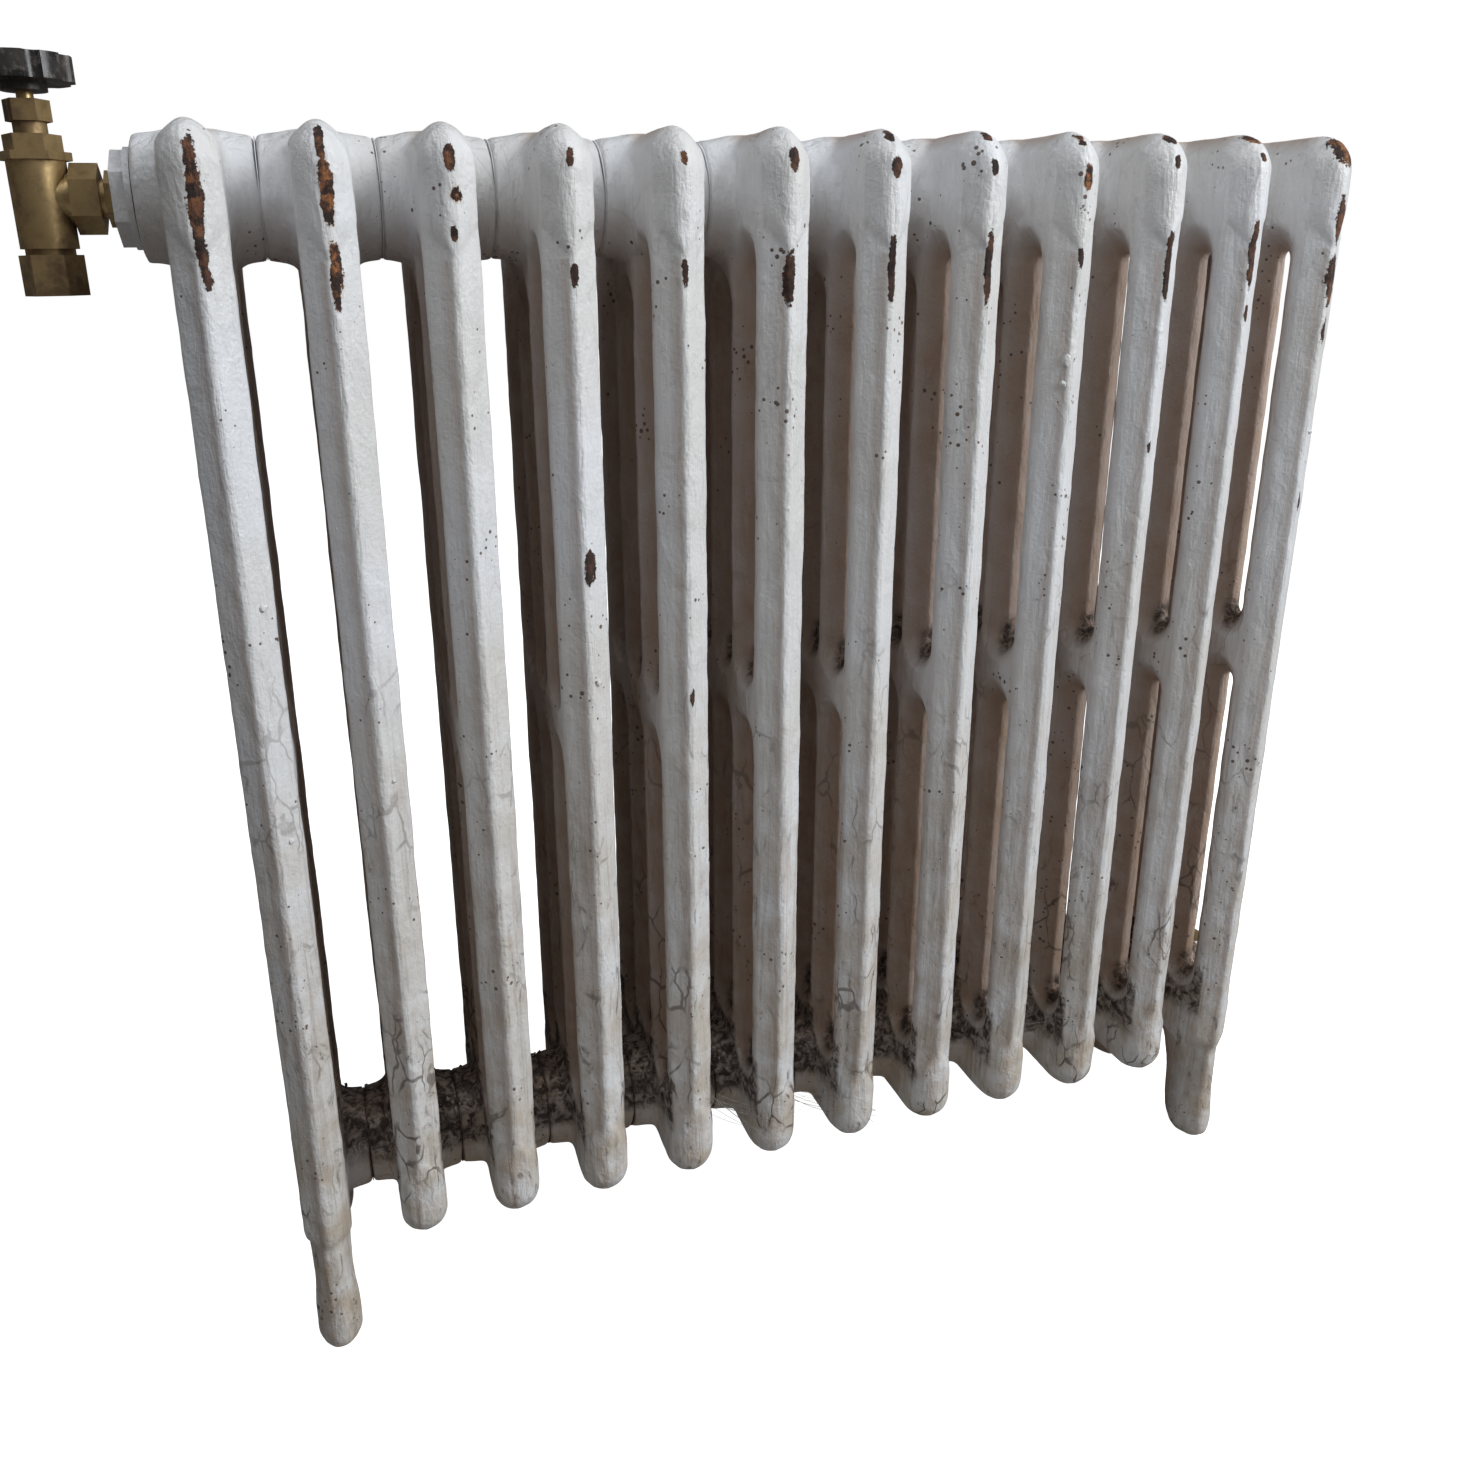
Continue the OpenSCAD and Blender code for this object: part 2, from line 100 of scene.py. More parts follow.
def pick(piece, test, kind="VERT"):
    """Edit mode on one piece, with the vertices or faces selected that pass a test of place."""
    only(piece)
    bpy.ops.object.mode_set(mode="EDIT")
    bpy.ops.mesh.select_mode(type=kind)
    work = bmesh.from_edit_mesh(piece.data)
    for part in (work.verts, work.edges, work.faces):
        for bit in part:
            bit.select = False
    if kind == "VERT":
        for v in work.verts:
            v.select = bool(test(v.co))
    else:
        for f in work.faces:
            f.select = bool(test(f.calc_center_median(), f.normal))
    work.select_flush_mode()
    bmesh.update_edit_mesh(piece.data)


def object_mode():
    bpy.ops.object.mode_set(mode="OBJECT")


def settle(piece, name=None):
    """Moves the piece's place, turn and scale into its mesh."""
    only(piece)
    bpy.ops.object.transform_apply(location=True, rotation=True, scale=True)
    if name:
        piece.name = name
        piece.data.name = name
    return piece


def outward(piece):
    only(piece)
    bpy.ops.object.mode_set(mode="EDIT")
    bpy.ops.mesh.select_all(action="SELECT")
    bpy.ops.mesh.remove_doubles(threshold=0.00001)
    bpy.ops.mesh.normals_make_consistent(inside=False)
    object_mode()
    return piece


def joined(parts):
    nothing_selected()
    for p in parts:
        p.select_set(True)
    bpy.context.view_layer.objects.active = parts[0]
    bpy.ops.object.join()
    return parts[0]


def apply_modifier(piece, kind, **settings):
    only(piece)
    m = piece.modifiers.new(kind.lower(), kind)
    for key, value in settings.items():
        setattr(m, key, value)
    bpy.ops.object.modifier_apply(modifier=m.name)
    return piece


def cut_away(piece, cutter):
    apply_modifier(piece, "BOOLEAN", operation="DIFFERENCE", solver="EXACT", object=cutter)
    bpy.data.objects.remove(cutter)
    return piece


def copy_of(piece, name):
    twin = piece.copy()
    twin.data = piece.data.copy()
    bpy.context.scene.collection.objects.link(twin)
    twin.name = name
    twin.data.name = name
    return twin


def turned(profile, place, side, steps, name):
    """Turned on the lathe along X, towards side: profile is [(along, radius), ...]."""
    mesh = bpy.data.meshes.new(name)
    points = [(r, 0, a) for a, r in profile]
    mesh.from_pydata(points, [(i, i + 1) for i in range(len(points) - 1)], [])
    piece = bpy.data.objects.new(name, mesh)
    bpy.context.scene.collection.objects.link(piece)
    only(piece)
    bpy.ops.object.mode_set(mode="EDIT")
    bpy.ops.mesh.select_all(action="SELECT")
    bpy.ops.mesh.spin(steps=steps, angle=2 * math.pi, center=(0, 0, 0), axis=(0, 0, 1))
    bpy.ops.mesh.select_all(action="SELECT")
    bpy.ops.mesh.remove_doubles(threshold=0.000005)
    bpy.ops.mesh.normals_make_consistent(inside=False)
    object_mode()
    piece.rotation_euler = (0, side * math.pi / 2, 0)
    piece.location = place
    return settle(piece, name)


# ---------- one casting ----------


def plate():
    """The flat casting: rounded outline, narrow edge, slanted faces, all in the X = 0 plane."""
    nothing_selected()
    bpy.ops.mesh.primitive_plane_add(size=1, location=(0, 0, 0))
    piece = bpy.context.object
    piece.scale = (crown_z - base_z, 2 * half_depth, 1)
    settle(piece, "plate")
    bpy.ops.object.mode_set(mode="EDIT")
    bpy.ops.mesh.select_all(action="SELECT")
    bpy.ops.mesh.bevel(affect="VERTICES", offset=CORNER, segments=10)
    bpy.ops.mesh.select_all(action="SELECT")
    bpy.ops.mesh.extrude_region_move(TRANSFORM_OT_translate={"value": (0, 0, 2 * EDGE_HALF)})
    bpy.ops.mesh.select_all(action="SELECT")
    bpy.ops.mesh.normals_make_consistent(inside=False)
    object_mode()
    piece.location.z = -EDGE_HALF
    settle(piece)
    for side in (1, -1):
        pick(piece, lambda c, n: n.z * side > 0.9, "FACE")
        bpy.ops.mesh.inset(thickness=BEVEL, depth=HALF_THICK - EDGE_HALF)
        object_mode()
    piece.rotation_euler = (0, math.pi / 2, 0)
    piece.location = (0, 0, mid_z)
    return outward(settle(piece))


def groove_cutter(y, low, high):
    """Countersunk slot, stretched between its two end centres."""
    outer = SLOT_HALF + GROOVE_SLOPE * (GROOVE_REACH - WEB_HALF)
    middle = (low + high) / 2
    nothing_selected()
    bpy.ops.mesh.primitive_cylinder_add(vertices=54, radius=outer, depth=2 * GROOVE_REACH,
                                        location=(0, y, middle),
                                        rotation=(math.pi / 2, 0, math.pi / 2))
    piece = settle(bpy.context.object, "groove_cutter")
    for side in (1, -1):
        pick(piece, lambda c: True)
        bpy.ops.mesh.bisect(plane_co=(side * WEB_HALF, 0, 0), plane_no=(1, 0, 0))
        object_mode()
    for v in piece.data.vertices:
        if abs(v.co.x) < WEB_HALF * 1.01:
            v.co.y = y + (v.co.y - y) * SLOT_HALF / outer
            v.co.z = middle + (v.co.z - middle) * SLOT_HALF / outer
    stretch = (high - low) / 2
    for sign in (1, -1):
        pick(piece, lambda c: (c.z - middle) * sign > 0)
        bpy.ops.transform.translate(value=(0, 0, sign * stretch))
        object_mode()
    return outward(piece)


def hub(side, axis, up):
    """Round boss with a concave flare at its root. up is 1 for the upper row of hubs."""
    profile = [(0, 0), (0, 40), (11, 40), (13.2, 39.5), (14.4, 37.4), (15.6, 35.4),
               (17.5, 33.8), (20, 32.8), (23.5, 32.1), (27, 31.7), (30.1, 31.6), (30.1, 0)]
    piece = turned([(a * MM, r * MM) for a, r in profile], (0, 0, axis),
                   side, 96, "hub")
    crest = [(0, 34.6), (8, 34.4), (12, 33.9), (16, 33.2), (21, 32.3), (26, 31.8),
             (30.1, 31.6)]
    along = [a * MM for a, r in crest]
    reach = [r * MM for a, r in crest]
    bore_side = 20 * MM
    for v in piece.data.vertices:
        dy, dz = v.co.y, (v.co.z - axis) * up
        radius = math.hypot(dy, dz)
        if radius < bore_side or dz <= 0:
            continue
        # the flare is held to the crest near the tip and left full at the sides
        share = min(1.0, max(0.0, (dz / radius - 0.35) / 0.4))
        share = share * share * (3 - 2 * share)
        limit = float(np.interp(abs(v.co.x), along, reach))
        target = radius + (min(radius, limit) - radius) * share
        v.co.y *= target / radius
        v.co.z = axis + (v.co.z - axis) * target / radius
    return piece


def foot(side):
    """Foot cast under the front (-1) or rear (1) of an end section: ankle, toe, flat sole."""
    front = -half_depth + 3.5 * MM
    rings = [  # height, front, rear, half width
        (0.0, 5.5, 33.0, 9.6), (1.2, 2.6, 36.0, 11.6), (5, -0.6, 38.6, 13.6),
        (10, -1.8, 40.2, 14.3), (18, -2.2, 41.6, 14.4), (30, -1.5, 42.6, 14.1),
        (42, -0.4, 44.0, 12.9), (52, 0, 46.5, 12.1), (64, 0, 50.5, 12.1),
        (74, 0, 56.0, 12.6), (84, 0.5, 61.0, 13.2), (96, 2.0, 63.0, 13.2),
    ]
    outline = [(0.0, 0.30), (0.12, 0.62), (0.30, 0.98), (0.42, 1.0), (0.62, 0.86),
               (0.85, 0.55), (1.0, 0.30)]
    loop = outline + [(t, -w) for t, w in reversed(outline)]
    nothing_selected()
    bpy.ops.mesh.primitive_circle_add(vertices=len(loop), radius=0.01, fill_type="NGON")
    piece = settle(bpy.context.object, "foot")

    def lay(verts, ring):
        height, fore, aft, half = ring
        for v, (t, w) in zip(verts, loop):
            v.co = Vector((w * half * MM, front + (fore + t * (aft - fore)) * MM, height * MM))

    lay(piece.data.vertices, rings[0])
    bpy.ops.object.mode_set(mode="EDIT")
    bpy.ops.mesh.select_all(action="SELECT")
    for ring in rings[1:]:
        bpy.ops.mesh.extrude_region_move(TRANSFORM_OT_translate={"value": (0, 0, 0.01)})
        work = bmesh.from_edit_mesh(piece.data)
        # the new ring keeps the order of the ring it came from
        chosen = sorted((v for v in work.verts if v.select), key=lambda v: v.index)
        lay(chosen, ring)
        bmesh.update_edit_mesh(piece.data)
    object_mode()
    outward(piece)
    if side > 0:
        for v in piece.data.vertices:
            v.co.y = -v.co.y
        outward(piece)
    return piece


def places(mesh):
    """Every vertex's place, as rows of x, y, z."""
    co = np.zeros(len(mesh.vertices) * 3)
    mesh.vertices.foreach_get("co", co)
    return co.reshape(-1, 3)


def crease(piece):
    """The raised cap of each end: a shallow step along a chevron on the slanted faces."""
    raised, sunk_line = 0.55, 0.35
    co = places(piece.data)
    count = len(co)
    normal = np.zeros(count * 3)
    piece.data.vertex_normals.foreach_get("vector", normal)
    normal = normal.reshape(-1, 3)
    lift = np.zeros(count)
    edge = np.clip((np.abs(co[:, 1]) - (half_depth - BEVEL * 1.25)) / (BEVEL * 0.3), 0, 1)
    for axis, up in ((top_axis, 1), (low_axis, -1)):
        line = axis - up * CREASE_DROP
        over = (co[:, 2] - line) * up - np.abs(co[:, 0]) * CREASE_SLOPE
        step = 0.5 + 0.5 * np.tanh(over / (1.8 * MM))
        groove = np.exp(-(over / (1.3 * MM)) ** 2)
        lift += (step * raised - groove * sunk_line) * edge * MM
    co += normal * lift[:, None]
    piece.data.vertices.foreach_set("co", co.ravel())
    piece.data.update()


def rounder_caps(piece, low_fullness):
    """Beyond the crease the tips are full, soft domes: swelled there, then smoothed."""
    top_fullness = 0.34
    co = places(piece.data)
    slant = np.clip((np.abs(co[:, 0]) - EDGE_HALF) / (HALF_THICK - EDGE_HALF), 0, 1)
    full = HALF_THICK * np.sqrt(1 - (1 - slant) ** 2)
    for axis, up in ((top_axis, 1), (low_axis, -1)):
        over = (co[:, 2] - axis + up * CREASE_DROP) * up - np.abs(co[:, 0]) * CREASE_SLOPE
        share = np.clip(over / (12 * MM), 0, 1)
        share = share * share * (3 - 2 * share) * (top_fullness if up > 0 else low_fullness)
        share = share * (np.abs(co[:, 0]) < HALF_THICK)
        wider = np.abs(co[:, 0]) * (1 - share) + full * share
        co[:, 0] = np.sign(co[:, 0]) * wider
    piece.data.vertices.foreach_set("co", co.ravel())
    piece.data.update()
    group = piece.vertex_groups.new(name="caps")
    for v in piece.data.vertices:
        for axis, up in ((top_axis, 1), (low_axis, -1)):
            over = (v.co.z - axis + up * CREASE_DROP) * up - abs(v.co.x) * CREASE_SLOPE
            if over > 0:
                group.add([v.index], min(1.0, over / (14 * MM)), "REPLACE")
    apply_modifier(piece, "SMOOTH", factor=0.6, iterations=9, vertex_group="caps")


def casting(name, left_low_hub, feet):
    """A whole section as it comes from the mould, before the paint."""
    piece = plate()
    for row in (-1, 0, 1):
        drop = MIDDLE_DROP if row == 0 else OUTER_DROP
        cut_away(piece, groove_cutter(row * COLUMN_PITCH, low_axis + drop, mid_z - BRIDGE_HALF))
        cut_away(piece, groove_cutter(row * COLUMN_PITCH, mid_z + BRIDGE_HALF, top_axis - drop))
    parts = [piece, hub(1, top_axis, 1), hub(-1, top_axis, 1), hub(1, low_axis, -1)]
    if left_low_hub:
        parts.append(hub(-1, low_axis, -1))
    if feet:
        parts += [foot(-1), foot(1)]
    piece = joined(parts)
    piece.name = name
    apply_modifier(piece, "REMESH", mode="VOXEL", voxel_size=GRAIN)
    apply_modifier(piece, "SMOOTH", factor=0.5, iterations=2)
    rounder_caps(piece, 0.0 if feet else 0.75)
    crease(piece)
    apply_modifier(piece, "DECIMATE", decimate_type="COLLAPSE", ratio=0.42)
    return piece


# ---------- paint damage, dirt, rust and painted shade over each section ---

# section, height of the spot's top, length, place across the edge, half width, orange rust
CHIPS = [
    (1, 732, 58, 1.5, 2.8, 0.25), (1, 690, 22, 1.5, 2.4, 0.1), (1, 672, 12, 2.5, 1.8, 0.0),
    (2, 736, 16, 0.0, 1.8, 0.2), (2, 722, 34, 1.2, 3.0, 0.55), (2, 686, 36, 2.0, 2.4, 0.6),
    (3, 728, 14, 0.5, 2.2, 0.3), (3, 708, 8, 2.5, 2.4, 1.0), (3, 690, 8, 0.5, 1.4, 0.2),
    (4, 727, 10, 0.5, 1.6, 0.1), (4, 671, 12, 0.5, 1.8, 0.0),
    (5, 727, 9, 0.0, 1.9, 0.3), (5, 673, 16, 0.0, 1.7, 0.0),
    (6, 728, 13, 1.2, 2.8, 0.1), (6, 679, 32, -0.6, 2.6, 0.05),
    (7, 738, 7, 0.0, 2.5, 0.1), (7, 724, 11, 1.0, 3.0, 0.1), (7, 684, 38, 0.0, 2.0, 0.0),
    (8, 738, 6, 0.0, 2.0, 0.1), (8, 724, 9, 1.0, 1.8, 0.1), (8, 686, 44, 0.5, 2.2, 0.1),
    (9, 737, 7, -1.0, 2.0, 0.6), (9, 722, 16, 0.8, 2.2, 0.7), (9, 676, 10, 0.5, 1.8, 0.0),
    (10, 738, 6, 0.0, 3.0, 0.4), (10, 726, 8, 0.8, 1.8, 0.1), (10, 686, 46, 0.8, 2.2, 0.0),
    (11, 739, 6, 0.0, 4.0, 0.7), (11, 728, 6, 1.0, 1.6, 0.1), (11, 690, 40, 0.8, 2.4, 0.1),
    (12, 738, 18, 3.0, 7.0, 0.5), (12, 704, 30, 3.5, 4.0, 0.2), (12, 670, 34, 4.5, 5.5, 0.3),
    (12, 630, 14, 3.5, 3.0, 0.1), (11, 640, 10, 1.2, 1.4, 0.0), (12, 520, 14, 3.5, 2.0, 0.3),
    (4, 520, 22, 2.6, 2.6, 0.0), (5, 430, 9, 1.8, 1.8, 0.0), (10, 560, 8, 1.0, 1.6, 0.0),
]


def spots_on(number, co, centre_x):
    """Paint loss and orange rust, from 0 to 1, at each point of one section."""
    loss = np.zeros(len(co))
    rust = np.zeros(len(co))
    for n, top, length, aside, half, orange in CHIPS:
        if n != number:
            continue
        z = (top - length / 2) * MM
        dx = (co[:, 0] - centre_x - aside * MM) / (half * 1.5 * MM)
        dz = (co[:, 2] - z) / (length * 0.56 * MM)
        dy = (co[:, 1] + half_depth) / (13 * MM)
        rounded = np.clip(co[:, 2] - (crown_z - CORNER), 0, None) / CORNER
        dy = dy - rounded * 0.9
        near = np.clip(1.35 - np.abs(dy), 0, 1)
        spot = np.clip(1.25 - np.sqrt(dx ** 2 + np.abs(dz) ** 3.0), 0, 1) * near
        loss = np.maximum(loss, spot)
        rust = np.maximum(rust, spot * orange)
    return loss, rust


def paint_story(piece, number):
    """Writes the wear of this section, and painted shade in its hollows, beside its edge and
    under its upper hubs, into attributes that its paint reads.
    """
    centre_x = middle_x("section_%02d" % number)
    co = places(piece.data)
    across = np.abs(co[:, 0] - centre_x)
    depth = co[:, 1] + half_depth
    height = co[:, 2]
    loss, rust = spots_on(number, co, centre_x)

    # brown hollows, painted shade mixed with dirt: the grooves, the columns behind the first;
    # painted shade in a strip beside the edge
    sunk = np.clip((HALF_THICK - 0.6 * MM - across) / (9 * MM), 0, 1)
    inner = np.clip((depth - 15 * MM) / (14 * MM), 0, 1)
    between = np.clip((top_axis - 12 * MM - height) / (30 * MM), 0, 1)
    behind = np.clip((depth - 26 * MM) / (40 * MM), 0, 1) * between
    hollow_shade_and_dirt = np.clip(sunk * inner * 0.8 + behind * 0.8, 0, 1)
    # painted shade: a darker strip on the left slanted face just beside the edge
    strip = np.exp(-((co[:, 0] - centre_x + 4.2 * MM) / (1.6 * MM)) ** 2)
    strip = strip * (depth < 9 * MM) * (height < top_axis - CREASE_DROP)
    hollow_shade_and_dirt = np.maximum(hollow_shade_and_dirt, strip * 0.5)
    # painted shade on the undersides of the upper hubs
    under = np.clip((across - HALF_THICK) / (4 * MM), 0, 1)
    under = under * np.clip((top_axis - height) / HUB_RADIUS, 0, 1) * (height > mid_z)
    hollow_shade_and_dirt = np.maximum(hollow_shade_and_dirt, under * 0.55)

    # dirt that lies at the foot of each slot and on the lower hubs
    ledge = np.zeros(len(co))
    for row in (-1, 0, 1):
        drop = MIDDLE_DROP if row == 0 else OUTER_DROP
        for z in (mid_z + BRIDGE_HALF, low_axis + drop):
            away = np.sqrt(((co[:, 1] - row * COLUMN_PITCH) / (11 * MM)) ** 2
                           + ((height - z + 4 * MM) / (15 * MM)) ** 2)
            ledge = np.maximum(ledge, np.clip(1.25 - away, 0, 1) * (0.55 + 0.45 * sunk))
    shelf = np.clip((across - HALF_THICK * 0.8) / (5 * MM), 0, 1)
    shelf = shelf * np.clip((height - low_axis + 6 * MM) / (20 * MM), 0, 1)
    shelf = shelf * (height < low_axis + 48 * MM) * np.clip(number / 2.0, 0, 1)
    dirt = np.clip(np.maximum(ledge, shelf * 1.3), 0, 1)
    low = np.clip((low_axis + 420 * MM - height) / (480 * MM), 0, 1)
    for key, values in (("paint_loss", loss), ("orange_rust", rust), ("hollow_shade_and_dirt", hollow_shade_and_dirt),
                        ("dirt", dirt), ("low_grime", low)):
        layer = piece.data.attributes.new(key, "FLOAT", "POINT")
        layer.data.foreach_set("value", values.astype(np.float32))


def lumpy(piece, number):
    """Uneven casting and brushed coats: two sizes of swelling. The soles stay flat."""
    for size, strength in ((0.030, 0.0013), (0.009, 0.0005)):
        pattern = bpy.data.textures.new("swell_%02d_%d" % (number, size * 1000), "CLOUDS")
        pattern.noise_scale = size
        pattern.noise_depth = 2
        apply_modifier(piece, "DISPLACE", texture=pattern, texture_coords="GLOBAL",
                       strength=strength, mid_level=0.5)
    for v in piece.data.vertices:
        v.co.z = max(v.co.z, 0.0)


# ---------- shared effects ----------


def new_group(name, inputs, outputs):
    group = bpy.data.node_groups.new(name, "ShaderNodeTree")
    for label, kind, value in inputs:
        socket = group.interface.new_socket(label, in_out="INPUT", socket_type=kind)
        if value is not None:
            socket.default_value = value
    for label, kind in outputs:
        group.interface.new_socket(label, in_out="OUTPUT", socket_type=kind)
    return group, group.nodes.new("NodeGroupInput"), group.nodes.new("NodeGroupOutput")


def math_node(tree, operation, a, b=None, clamp=False):
    node = tree.nodes.new("ShaderNodeMath")
    node.operation = operation
    node.use_clamp = clamp
    for i, value in enumerate((a, b)):
        if value is None:
            continue
        if isinstance(value, (int, float)):
            node.inputs[i].default_value = value
        else:
            tree.links.new(value, node.inputs[i])
    return node.outputs[0]


def noise_node(tree, vector, scale, detail=4.0, rough=0.55, distortion=0.0):
    node = tree.nodes.new("ShaderNodeTexNoise")
    node.inputs["Scale"].default_value = scale
    node.inputs["Detail"].default_value = detail
    node.inputs["Roughness"].default_value = rough
    node.inputs["Distortion"].default_value = distortion
    tree.links.new(vector, node.inputs["Vector"])
    return node.outputs["Fac"]


def cell_node(tree, vector, scale, feature="F1"):
    node = tree.nodes.new("ShaderNodeTexVoronoi")
    node.feature = feature
    node.inputs["Scale"].default_value = scale
    tree.links.new(vector, node.inputs["Vector"])
    return node


def stretched(tree, vector, scale):
    node = tree.nodes.new("ShaderNodeMapping")
    node.inputs["Scale"].default_value = scale
    tree.links.new(vector, node.inputs["Vector"])
    return node.outputs[0]


def ramp(tree, value, low, high, out_low=0.0, out_high=1.0):
    node = tree.nodes.new("ShaderNodeMapRange")
    node.interpolation_type = "SMOOTHSTEP"
    node.inputs["From Min"].default_value = low
    node.inputs["From Max"].default_value = high
    node.inputs["To Min"].default_value = out_low
    node.inputs["To Max"].default_value = out_high
    tree.links.new(value, node.inputs["Value"])
    return node.outputs["Result"]


def mixed(tree, factor, a, b):
    node = tree.nodes.new("ShaderNodeMix")
    node.data_type = "RGBA"
    for socket, value in ((node.inputs[0], factor), (node.inputs[6], a), (node.inputs[7], b)):
        if isinstance(value, tuple):
            socket.default_value = (*value, 1.0)
        elif isinstance(value, (int, float)):
            socket.default_value = value
        else:
            tree.links.new(value, socket)
    return node.outputs[2]


def make_pits():
    """Small dark pits and specks in old paint."""
    group, gin, gout = new_group(
        "pits_and_specks",
        [("Vector", "NodeSocketVector", None), ("Amount", "NodeSocketFloat", 0.5)],
        [("Mask", "NodeSocketFloat")])
    cells = cell_node(group, gin.outputs["Vector"], 190)
    spread = noise_node(group, gin.outputs["Vector"], 26, 3)
    size = ramp(group, spread, 0.44, 0.76, 0.0, 0.36)
    size = math_node(group, "MULTIPLY", size, gin.outputs["Amount"])
    hole = math_node(group, "LESS_THAN", cells.outputs["Distance"], size)
    group.links.new(hole, gout.inputs["Mask"])
    return group


def make_cracks():
    """Hairline cracks that wander down the paint."""
    group, gin, gout = new_group(
        "hairline_cracks",
        [("Vector", "NodeSocketVector", None), ("Amount", "NodeSocketFloat", 0.5)],
        [("Mask", "NodeSocketFloat")])
    wobble = group.nodes.new("ShaderNodeTexNoise")
    wobble.inputs["Scale"].default_value = 55
    group.links.new(gin.outputs["Vector"], wobble.inputs["Vector"])
    push = group.nodes.new("ShaderNodeVectorMath")
    push.operation = "MULTIPLY_ADD"
    group.links.new(wobble.outputs["Color"], push.inputs[0])
    push.inputs[1].default_value = (0.012, 0.012, 0.012)
    group.links.new(gin.outputs["Vector"], push.inputs[2])
    tall = stretched(group, push.outputs[0], (1, 1, 0.4))
    cells = cell_node(group, tall, 70, "DISTANCE_TO_EDGE")
    line = ramp(group, cells.outputs["Distance"], 0.02, 0.05, 1.0, 0.0)
    where = ramp(group, noise_node(group, gin.outputs["Vector"], 17, 3, 0.6), 0.53, 0.63)
    both = math_node(group, "MULTIPLY", line, where)
    both = math_node(group, "MULTIPLY", both, gin.outputs["Amount"])
    group.links.new(both, gout.inputs["Mask"])
    return group


def make_runs():
    """Runs, brush marks and thick drips of gloss paint, as a height and a tone."""
    group, gin, gout = new_group(
        "runs_and_brush_marks",
        [("Vector", "NodeSocketVector", None)],
        [("Height", "NodeSocketFloat"), ("Tone", "NodeSocketFloat")])
    drawn_out = stretched(group, gin.outputs["Vector"], (150, 150, 14))
    streaks = noise_node(group, drawn_out, 1, 5, 0.6, 0.3)
    squat = stretched(group, gin.outputs["Vector"], (70, 70, 30))
    lumps = noise_node(group, squat, 1, 3, 0.5, 0.8)
    fine = noise_node(group, gin.outputs["Vector"], 420, 3, 0.6)
    height = math_node(group, "ADD", math_node(group, "MULTIPLY", streaks, 0.6),
                       math_node(group, "MULTIPLY", lumps, 0.9))
    height = math_node(group, "ADD", height, math_node(group, "MULTIPLY", fine, 0.22))
    group.links.new(height, gout.inputs["Height"])
    group.links.new(ramp(group, streaks, 0.3, 0.7), gout.inputs["Tone"])
    return group


def make_rust():
    """Bare iron under lost paint: dark brown scale with orange bloom."""
    group, gin, gout = new_group(
        "rusty_iron",
        [("Vector", "NodeSocketVector", None), ("Orange", "NodeSocketFloat", 0.2)],
        [("Color", "NodeSocketColor"), ("Height", "NodeSocketFloat")])
    coarse = noise_node(group, gin.outputs["Vector"], 160, 5, 0.65)
    fine = noise_node(group, gin.outputs["Vector"], 620, 4, 0.6)
    base = mixed(group, ramp(group, coarse, 0.35, 0.7),
                 (0.022, 0.013, 0.011), (0.085, 0.038, 0.024))
    bright = mixed(group, ramp(group, fine, 0.35, 0.65),
                   (0.19, 0.06, 0.022), (0.44, 0.19, 0.07))
    share = math_node(group, "MULTIPLY", ramp(group, coarse, 0.46, 0.62),
                      gin.outputs["Orange"], True)
    group.links.new(mixed(group, share, base, bright), gout.inputs["Color"])
    group.links.new(math_node(group, "ADD", coarse, math_node(group, "MULTIPLY", fine, 0.5)),
                    gout.inputs["Height"])
    return group


PITS, CRACKS, RUNS, RUST = make_pits(), make_cracks(), make_runs(), make_rust()


def placed(tree, group, **links):
    """Lays one of the shared effects into a material."""
    node = tree.nodes.new("ShaderNodeGroup")
    node.node_tree = group
    for key, value in links.items():
        if isinstance(value, (int, float)):
            node.inputs[key].default_value = value
        else:
            tree.links.new(value, node.inputs[key])
    return node.outputs


def material(name):
    made = bpy.data.materials.new(name)
    made.use_nodes = True
    tree = made.node_tree
    shader = tree.nodes["Principled BSDF"]
    place = tree.nodes.new("ShaderNodeTexCoord").outputs["Object"]
    return made, tree, shader, place


def attribute(tree, name):
    node = tree.nodes.new("ShaderNodeAttribute")
    node.attribute_name = name
    return node.outputs["Fac"]


def bump(tree, shader, layers):
    """Stacks bump layers of (height, strength, distance)."""
    last = None
    for height, strength, distance in layers:
        node = tree.nodes.new("ShaderNodeBump")
        node.inputs["Strength"].default_value = strength
        node.inputs["Distance"].default_value = distance
        tree.links.new(height, node.inputs["Height"])
        if last is not None:
            tree.links.new(last, node.inputs["Normal"])
        last = node.outputs[0]
    tree.links.new(last, shader.inputs["Normal"])


